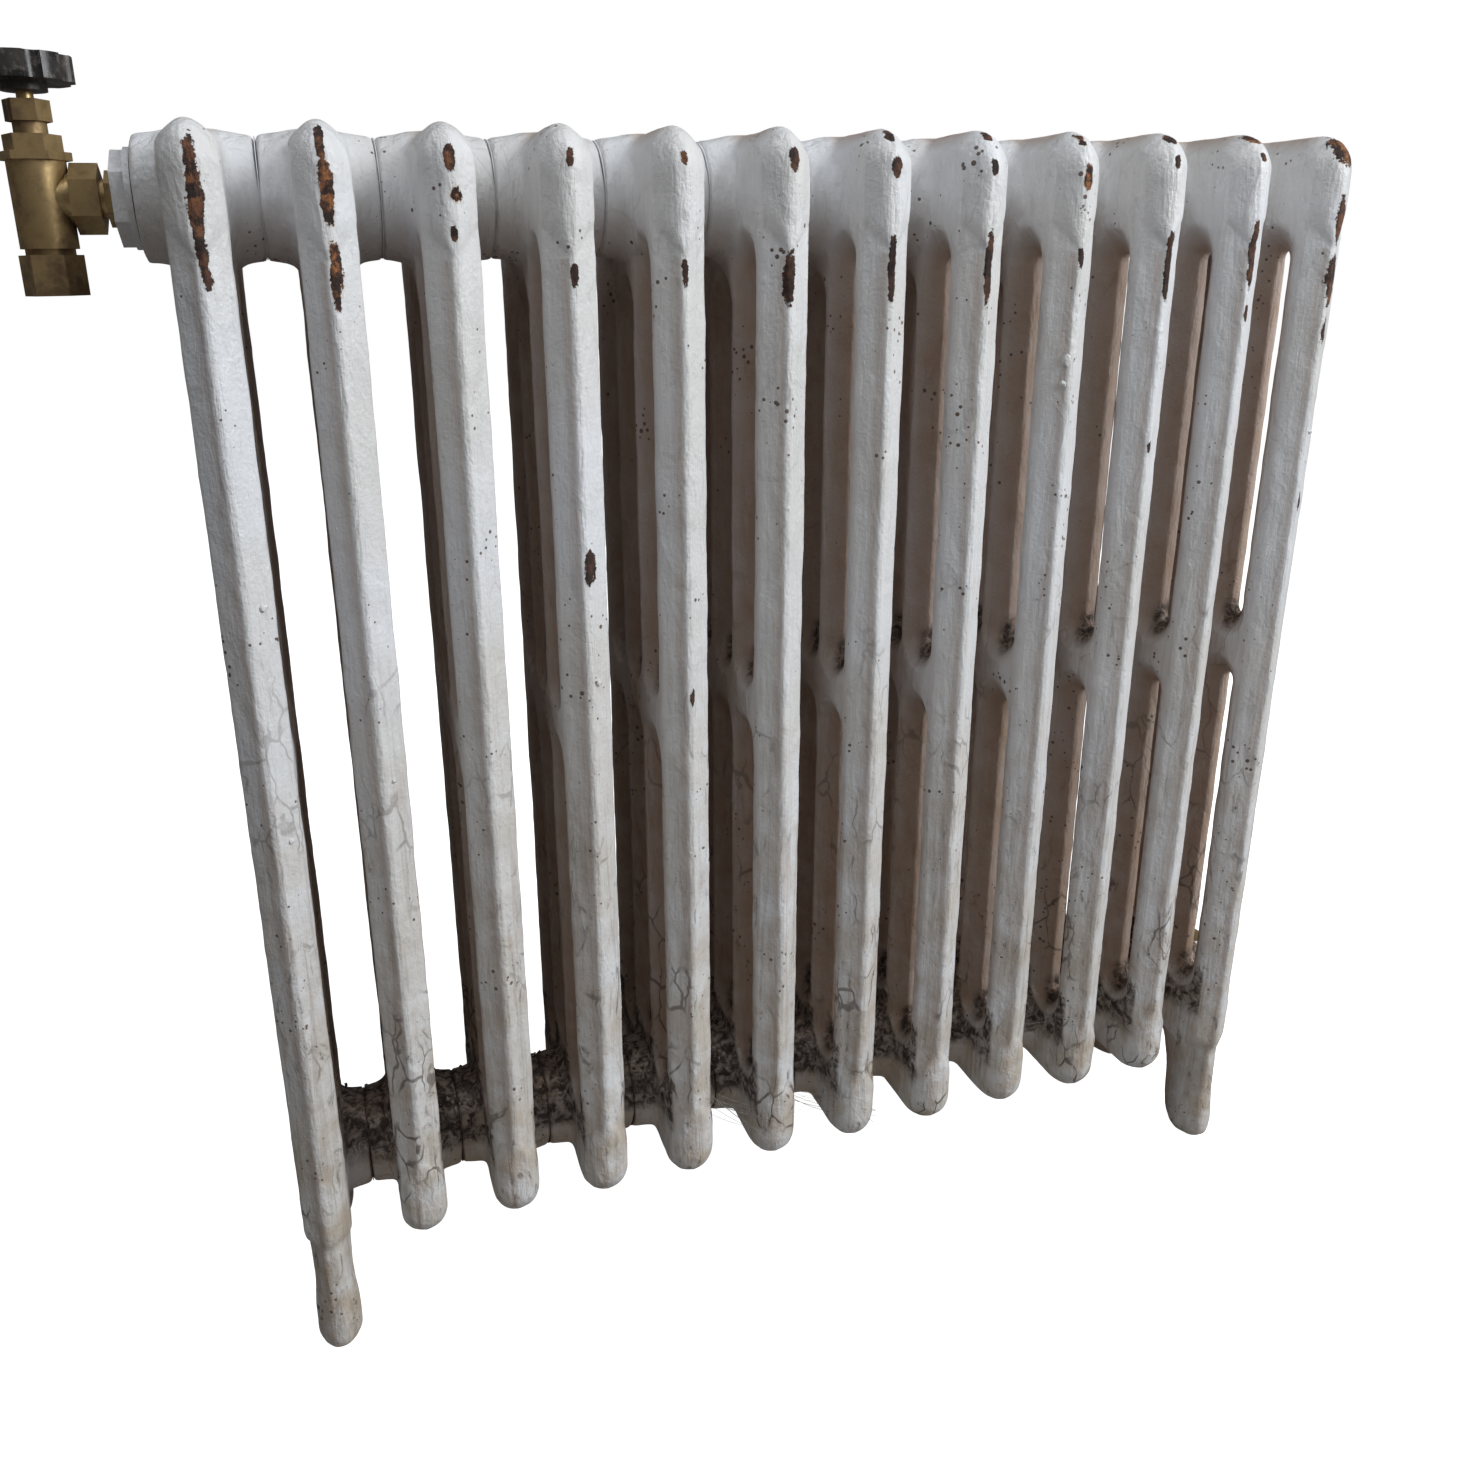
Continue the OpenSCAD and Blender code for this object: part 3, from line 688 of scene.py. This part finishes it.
def old_white_paint():
    """Old white gloss on iron: chipped to the rust, cracked, dusty, dirty and with painted shade
    in the hollows and under the upper hubs.
    """
    made, tree, shader, place = material("old_white_paint")
    loss = attribute(tree, "paint_loss")
    orange = attribute(tree, "orange_rust")
    hollow_shade_and_dirt = attribute(tree, "hollow_shade_and_dirt")
    dirt = attribute(tree, "dirt")
    low = attribute(tree, "low_grime")
    runs = placed(tree, RUNS, Vector=place)

    # the paint itself: white, yellowed lower down, streaked and smudged
    broad = noise_node(tree, place, 9, 3)
    patch = noise_node(tree, place, 38, 5, 0.62)
    paint = mixed(tree, ramp(tree, broad, 0.3, 0.7), (0.79, 0.80, 0.83), (0.72, 0.71, 0.70))
    brushed = math_node(tree, "MULTIPLY", runs["Tone"], 0.14)
    paint = mixed(tree, brushed, paint, (0.60, 0.58, 0.55))
    aged = math_node(tree, "MULTIPLY", low, ramp(tree, patch, 0.3, 0.72), True)
    paint = mixed(tree, math_node(tree, "MULTIPLY", aged, 0.9), paint, (0.45, 0.36, 0.255))
    trails = noise_node(tree, stretched(tree, place, (190, 190, 9)), 1, 5, 0.62, 0.6)
    trails = math_node(tree, "MULTIPLY", ramp(tree, trails, 0.50, 0.66),
                       ramp(tree, low, 0.0, 0.5, 0.12, 1.0))
    paint = mixed(tree, math_node(tree, "MULTIPLY", trails, 0.32), paint, (0.27, 0.20, 0.15))
    blots = noise_node(tree, stretched(tree, place, (60, 60, 26)), 1, 6, 0.72, 1.6)
    smudge = ramp(tree, blots, 0.57, 0.68)
    smudge = math_node(tree, "MULTIPLY", smudge, ramp(tree, low, 0.1, 0.7))
    paint = mixed(tree, math_node(tree, "MULTIPLY", smudge, 0.7), paint, (0.10, 0.08, 0.068))

    # brown painted shade mixed with dirt in the hollows and under the upper hubs; dirt, pits and
    # cracks
    tan = math_node(tree, "ADD", math_node(tree, "MULTIPLY", patch, 0.5), 0.55)
    tan = math_node(tree, "MULTIPLY", tan, hollow_shade_and_dirt, True)
    paint = mixed(tree, tan, paint, (0.40, 0.265, 0.185))
    grit = ramp(tree, noise_node(tree, place, 150, 6, 0.72, 0.7), 0.34, 0.60)
    crust = math_node(tree, "ADD", math_node(tree, "MULTIPLY", grit, 0.7), 0.3)
    muck = math_node(tree, "MULTIPLY", ramp(tree, dirt, 0.12, 0.7), crust, True)
    filth = mixed(tree, grit, (0.15, 0.105, 0.08), (0.045, 0.033, 0.027))
    paint = mixed(tree, muck, paint, filth)
    pits = placed(tree, PITS, Vector=place, Amount=0.8)["Mask"]
    paint = mixed(tree, pits, paint, (0.16, 0.12, 0.10))
    crack_share = math_node(tree, "ADD", math_node(tree, "MULTIPLY", low, 0.9), 0.12, True)
    cracks = placed(tree, CRACKS, Vector=place, Amount=crack_share)["Mask"]
    paint = mixed(tree, cracks, paint, (0.13, 0.10, 0.085))

    # ragged chips down to the iron, with a rusty stain around the orange ones
    bloom = math_node(tree, "MULTIPLY", orange, 1.6, True)
    iron = placed(tree, RUST, Vector=place, Orange=bloom)
    torn = noise_node(tree, stretched(tree, place, (150, 150, 70)), 1, 4, 0.6)
    nibbled = math_node(tree, "MULTIPLY", noise_node(tree, place, 420, 6, 0.75), 0.9)
    ragged = math_node(tree, "ADD", torn, nibbled)
    edge = math_node(tree, "ADD", loss, math_node(tree, "MULTIPLY", ragged, 1.35))
    has_loss = ramp(tree, loss, 0.02, 0.2)
    bare = math_node(tree, "MULTIPLY", ramp(tree, edge, 1.74, 1.78), has_loss)
    halo = math_node(tree, "MULTIPLY", ramp(tree, edge, 1.5, 1.76), has_loss)
    stain = math_node(tree, "MULTIPLY", halo, ramp(tree, orange, 0.05, 0.5), True)
    paint = mixed(tree, math_node(tree, "MULTIPLY", stain, 0.6), paint, (0.52, 0.33, 0.17))
    colour = mixed(tree, bare, paint, iron["Color"])
    tree.links.new(colour, shader.inputs["Base Color"])

    gloss = ramp(tree, patch, 0.25, 0.75, 0.26, 0.46)
    dull = math_node(tree, "ADD", math_node(tree, "MULTIPLY", hollow_shade_and_dirt, 0.3),
                     math_node(tree, "MULTIPLY", muck, 0.45))
    rough = math_node(tree, "ADD", gloss, dull, True)
    rough = math_node(tree, "MAXIMUM", rough, math_node(tree, "MULTIPLY", bare, 0.88))
    tree.links.new(rough, shader.inputs["Roughness"])
    shader.inputs["Specular IOR Level"].default_value = 0.45

    whole = [math_node(tree, "SUBTRACT", 1.0, mask) for mask in (bare, cracks, pits)]
    bump(tree, shader, [(runs["Height"], 0.85, 0.0030), (iron["Height"], 0.2, 0.0010),
                        (whole[0], 0.9, 0.0007), (whole[1], 0.35, 0.0003),
                        (whole[2], 0.5, 0.0003), (grit, 0.12, 0.0008)])
    return made


def old_brass():
    """Dull brass with brown tarnish and handling marks."""
    made, tree, shader, place = material("dull_brass")
    broad = noise_node(tree, place, 60, 5, 0.62)
    fine = noise_node(tree, place, 480, 4, 0.6)
    tarnish = ramp(tree, broad, 0.34, 0.68)
    colour = mixed(tree, tarnish, (0.56, 0.40, 0.19), (0.16, 0.10, 0.05))
    green = ramp(tree, noise_node(tree, place, 120, 5, 0.7), 0.64, 0.72)
    colour = mixed(tree, math_node(tree, "MULTIPLY", green, 0.5), colour, (0.20, 0.27, 0.20))
    tree.links.new(colour, shader.inputs["Base Color"])
    tree.links.new(ramp(tree, broad, 0.3, 0.7, 0.9, 0.35), shader.inputs["Metallic"])
    tree.links.new(ramp(tree, broad, 0.3, 0.7, 0.30, 0.62), shader.inputs["Roughness"])
    bump(tree, shader, [(broad, 0.15, 0.0005), (fine, 0.12, 0.0002)])
    return made


def wheel_bakelite():
    """Black moulded wheel, greyed by handling and dust."""
    made, tree, shader, place = material("worn_bakelite")
    broad = noise_node(tree, place, 70, 5, 0.6)
    dust = ramp(tree, noise_node(tree, place, 260, 5, 0.7), 0.50, 0.68)
    colour = mixed(tree, ramp(tree, broad, 0.3, 0.7),
                   (0.016, 0.015, 0.016), (0.045, 0.038, 0.034))
    colour = mixed(tree, math_node(tree, "MULTIPLY", dust, 0.35), colour, (0.24, 0.21, 0.19))
    tree.links.new(colour, shader.inputs["Base Color"])
    tree.links.new(ramp(tree, broad, 0.3, 0.7, 0.22, 0.5), shader.inputs["Roughness"])
    bump(tree, shader, [(broad, 0.2, 0.0004), (dust, 0.1, 0.0001)])
    return made


def plain_finish(name, low, high, rough, metal=0.0, scale=200):
    """A mottled finish between two colours, for the small and inner pieces."""
    made, tree, shader, place = material(name)
    grain = noise_node(tree, place, scale, 5, 0.62)
    mottled = ramp(tree, grain, 0.3, 0.7)
    tree.links.new(mixed(tree, mottled, low, high), shader.inputs["Base Color"])
    tree.links.new(ramp(tree, grain, 0.3, 0.7, rough, min(1, rough + 0.25)),
                   shader.inputs["Roughness"])
    shader.inputs["Metallic"].default_value = metal
    bump(tree, shader, [(grain, 0.3, 0.0004)])
    return made


PAINT = old_white_paint()
BRASS = old_brass()
BARE_IRON = plain_finish("bare_iron", (0.035, 0.026, 0.022), (0.10, 0.065, 0.045), 0.6, 0.4)
FIBRE = plain_finish("gasket_fibre", (0.05, 0.03, 0.025), (0.15, 0.09, 0.07), 0.75)
STRING = plain_finish("greased_string", (0.38, 0.34, 0.26), (0.62, 0.57, 0.46), 0.7, 0, 600)
RUBBER = plain_finish("washer_rubber", (0.015, 0.015, 0.016), (0.04, 0.038, 0.036), 0.6)
STEEL = plain_finish("dull_steel", (0.30, 0.29, 0.28), (0.52, 0.51, 0.49), 0.35, 0.8)
BAKELITE = wheel_bakelite()


def painted(piece, made):
    piece.data.materials.clear()
    piece.data.materials.append(made)
    return piece


def ready(piece, name, made, *nodes):
    """Last step for every new piece: its name, finish and body, and what it stands for."""
    piece.name = name
    piece.data.name = name
    painted(piece, made)
    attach(piece, "radiator")
    if nodes:
        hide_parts(*nodes)
    return piece


# ---------- the row of sections ----------

plain_casting = casting("plain_casting", True, False)
left_casting = casting("left_casting", False, True)
right_casting = casting("right_casting", True, True)

for number in range(1, SECTION_COUNT + 1):
    pattern = {1: left_casting, SECTION_COUNT: right_casting}.get(number, plain_casting)
    node = "section_%02d" % number
    piece = copy_of(pattern, "cast_" + node)
    piece.location.x = middle_x(node)
    settle(piece)
    lumpy(piece, number)
    paint_story(piece, number)
    only(piece)
    bpy.ops.object.shade_smooth()
    ready(piece, "cast_" + node, PAINT, node)

for pattern in (plain_casting, left_casting, right_casting):
    bpy.data.objects.remove(pattern)

# ---------- crumbs and dust on the lower hubs, threads, nubs of paint ----------


def scattered(name, spots, made, seed, fineness=1):
    """One rough crumb modelled once, then laid out many times with a place, size and turn."""
    nothing_selected()
    bpy.ops.mesh.primitive_ico_sphere_add(subdivisions=fineness, radius=1, location=(0, 0, 0))
    crumb = bpy.context.object
    dice = random.Random(seed)
    for v in crumb.data.vertices:
        v.co *= dice.uniform(0.7, 1.25)
    parts = []
    for place, size in spots:
        twin = copy_of(crumb, "crumb")
        twin.location = place
        twin.scale = [s * dice.uniform(0.75, 1.2) for s in size]
        twin.rotation_euler = [dice.uniform(0, 6.28) for _ in range(3)]
        parts.append(twin)
    bpy.data.objects.remove(crumb)
    nothing_selected()
    for twin in parts:
        twin.select_set(True)
    bpy.context.view_layer.objects.active = parts[0]
    bpy.ops.object.transform_apply(location=True, rotation=True, scale=True)
    bpy.ops.object.join()
    piece = bpy.context.object
    return ready(piece, name, made)


pale_spots, dark_spots = [], []
middles = [middle_x("section_%02d" % (i + 1)) for i in range(SECTION_COUNT)]
first, last = middles[0], middles[-1]
CRUMB_COUNT = 620
for _ in range(CRUMB_COUNT):
    x = rng.uniform(first + HALF_THICK, last - HALF_THICK)
    near = min(abs(x - m) for m in middles)
    y = rng.uniform(-29, 26) * MM
    # the flare at the root of a hub stands a little higher than the hub
    rise = HUB_RADIUS if near > 20 * MM else HUB_RADIUS + 2.5 * MM
    z = low_axis + math.sqrt(max(0, rise ** 2 - y ** 2))
    size = rng.uniform(0.5, 2.1) * MM * (1.5 if rng.random() < 0.08 else 1)
    target = pale_spots if rng.random() < 0.42 else dark_spots
    target.append(((x, y, z + size * 0.2), (size, size * rng.uniform(0.6, 1.1), size * 0.6)))

DUST = plain_finish("dark_dust", (0.03, 0.022, 0.018), (0.13, 0.095, 0.07), 0.85)
FLAKES = plain_finish("loose_flakes", (0.20, 0.15, 0.11), (0.55, 0.48, 0.40), 0.75, 0, 120)
scattered("dust_crumbs", dark_spots, DUST, 5)
scattered("paint_flakes", pale_spots, FLAKES, 9)


def threads(name, hooks, made, count):
    """Fine dusty threads strung between two places, sagging a little."""
    links = 6
    dice = random.Random(21)
    parts = []
    for start, end, spread in hooks:
        for _ in range(count):
            a = Vector(start) + Vector([dice.uniform(-1, 1) * spread for _ in range(3)])
            b = Vector(end) + Vector([dice.uniform(-1, 1) * spread for _ in range(3)])
            sag = dice.uniform(1, 6) * MM
            middle_point = (a + b) / 2 + Vector((0, 0, -sag))
            mesh = bpy.data.meshes.new("thread")
            thread = bpy.data.objects.new("thread", mesh)
            width = dice.uniform(0.10, 0.22) * MM
            rings = []
            for i in range(links + 1):
                t = i / links
                p = a * (1 - t) ** 2 + middle_point * 2 * t * (1 - t) + b * t ** 2
                rings += [p + Vector((width, 0, 0)), p + Vector((0, -width, width)),
                          p + Vector((-width, 0, -width))]
            faces = [(3 * i + k, 3 * i + (k + 1) % 3, 3 * i + 3 + (k + 1) % 3, 3 * i + 3 + k)
                     for i in range(links) for k in range(3)]
            tip = 3 * links
            mesh.from_pydata(rings, [], faces + [(2, 1, 0), (tip, tip + 1, tip + 2)])
            bpy.context.scene.collection.objects.link(thread)
            parts.append(thread)
    piece = outward(joined(parts))
    return ready(piece, name, made)


WEB = plain_finish("dusty_web", (0.20, 0.18, 0.16), (0.50, 0.48, 0.45), 0.9, 0, 300)


def low_spot(number, dx, depth, rise):
    """A place near the lower front of one section, in millimetres from its edge and axis."""
    return (middle_x("section_%02d" % number) + dx * MM, -half_depth + depth * MM,
            low_axis + rise * MM)


threads("old_cobweb", [
    (low_spot(5, 13, 12, 22), low_spot(6, -9, 5, 2), 0.008),
    (low_spot(6, -12, 9, 10), low_spot(6, 12, 9, -4), 0.009),
    (low_spot(6, 12, 12, 12), low_spot(7, -12, 12, 0), 0.009),
    (low_spot(7, -10, 8, 4), low_spot(7, 12, 8, -16), 0.007),
    (low_spot(8, -8, 6, 0), low_spot(8, 9, 8, 14), 0.006),
    (low_spot(9, 10, 14, 24), low_spot(10, -12, 14, 30), 0.007),
], WEB, 9)

# section, height, place across the slanted face, size
NUBS = [(1, 501, 8.5, 2.3), (1, 366, 8.0, 2.1), (9, 612, -3.0, 3.4), (9, 598, -4.0, 2.4),
        (4, 440, 5.5, 2.0), (2, 395, 6.0, 1.6), (12, 560, 4.0, 1.9)]
nub_spots = []
for n, z, dx, r in NUBS:
    inward = max(0.0, abs(dx) * MM - EDGE_HALF) * BEVEL / (HALF_THICK - EDGE_HALF)
    nub_spots.append(((middles[n - 1] + dx * MM, -half_depth + inward, z * MM),
                      (r * MM, r * 0.8 * MM, r * 1.1 * MM)))
nubs = scattered("paint_nubs", nub_spots, PAINT, 2, 3)
apply_modifier(nubs, "SMOOTH", factor=0.5, iterations=2)
only(nubs)
bpy.ops.object.shade_smooth()

# ---------- CAD pieces that keep their shape ----------

FINISHES = {
    "nipples_top": BARE_IRON, "nipples_bottom": BARE_IRON, "gaskets_top": PAINT,
    "gaskets_bottom": FIBRE, "supply_bush_gasket": FIBRE, "return_bush_gasket": FIBRE,
    "vent_plug_gasket": FIBRE, "valve_tail": BRASS, "valve_seat_ring": BRASS,
    "valve_disc": BRASS, "disc_washer": RUBBER, "gland_packing": STRING,
    "valve_spindle": BRASS, "supply_pipe_olive": BRASS, "return_pipe_olive": BRASS,
    "vent_screw": BRASS, "vent_body": BRASS, "handwheel_screw": STEEL,
    "supply_bush": PAINT, "return_bush": PAINT, "vent_plug": PAINT,
    "valve_union_nut": BRASS, "valve_body": BRASS, "valve_bonnet": BRASS,
    "gland_nut": BRASS, "handwheel": BAKELITE, "supply_pipe_nut": BRASS,
    "return_elbow": BRASS, "return_pipe_nut": BRASS,
}
for node, finish in FINISHES.items():
    painted(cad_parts[node], finish)

# ---------- studio ----------

nothing_selected()
bpy.ops.mesh.primitive_plane_add(size=14, location=(0, 0, -0.5 * MM))
floor = bpy.context.object
floor.name = "studio_floor"
pale, pale_tree, pale_shader, _ = material("pale_floor")
pale_shader.inputs["Roughness"].default_value = 0.85
# seen directly it is white, but it throws little light back up under the hubs
seen = pale_tree.nodes.new("ShaderNodeLightPath").outputs["Is Camera Ray"]
pale_tree.links.new(mixed(pale_tree, seen, (0.30, 0.29, 0.28), (0.92, 0.92, 0.92)),
                    pale_shader.inputs["Base Color"])
pale_shader.inputs["Emission Color"].default_value = (1, 1, 1, 1)
pale_tree.links.new(seen, pale_shader.inputs["Emission Strength"])
painted(floor, pale)

world = bpy.data.worlds.new("studio_air")
bpy.context.scene.world = world
world.use_nodes = True
air = world.node_tree
backdrop = air.nodes["Background"]
backdrop.inputs["Color"].default_value = (1.0, 0.94, 0.90, 1)
backdrop.inputs["Strength"].default_value = 0.105
# white where it is seen, dim and warm where it lights the pieces
white = air.nodes.new("ShaderNodeBackground")
white.inputs["Color"].default_value = (1, 1, 1, 1)
white.inputs["Strength"].default_value = 1.0
path = air.nodes.new("ShaderNodeLightPath")
choose = air.nodes.new("ShaderNodeMixShader")
air.links.new(path.outputs["Is Camera Ray"], choose.inputs[0])
air.links.new(backdrop.outputs[0], choose.inputs[1])
air.links.new(white.outputs[0], choose.inputs[2])
air.links.new(choose.outputs[0], air.nodes["World Output"].inputs["Surface"])


def soft_lamp(name, place, target, size, power, colour):
    data = bpy.data.lights.new(name, "AREA")
    data.shape = "RECTANGLE"
    data.size, data.size_y = size
    data.energy = power
    data.color = colour
    lamp = bpy.data.objects.new(name, data)
    bpy.context.scene.collection.objects.link(lamp)
    lamp.location = place
    lamp.rotation_euler = (Vector(target) - Vector(place)).to_track_quat("-Z", "Y").to_euler()


middle = (0.0, 0.0, 0.45)
soft_lamp("window", (1.9, -1.5, 1.75), middle, (1.5, 1.7), 71, (0.95, 0.98, 1.0))
soft_lamp("ceiling_glow", (-0.4, -0.5, 2.4), middle, (2.2, 2.0), 19, (0.90, 0.95, 1.0))

# ---------- camera ----------

FRAME_WIDTH = 36.0
LENS = 30.2
camera_data = bpy.data.cameras.new("viewpoint")
camera_data.sensor_width = FRAME_WIDTH
camera_data.lens = LENS
camera_data.shift_x = 0.0343
camera_data.shift_y = -0.0370
camera_data.clip_start = 0.02
camera_data.clip_end = 50
camera = bpy.data.objects.new("viewpoint", camera_data)
bpy.context.scene.collection.objects.link(camera)
# close in front of the first section, at the height of its upper crease
STAND_RIGHT, STAND_OFF, STAND_BELOW = 39.5 * MM, 653.8 * MM, 4.5 * MM
camera.location = (first + STAND_RIGHT, -half_depth - STAND_OFF,
                   top_axis - CREASE_DROP - STAND_BELOW)
camera.rotation_euler = [math.radians(a) for a in (71.492, 0.854, -16.913)]
bpy.context.scene.camera = camera
bpy.context.scene.view_settings.view_transform = "Standard"
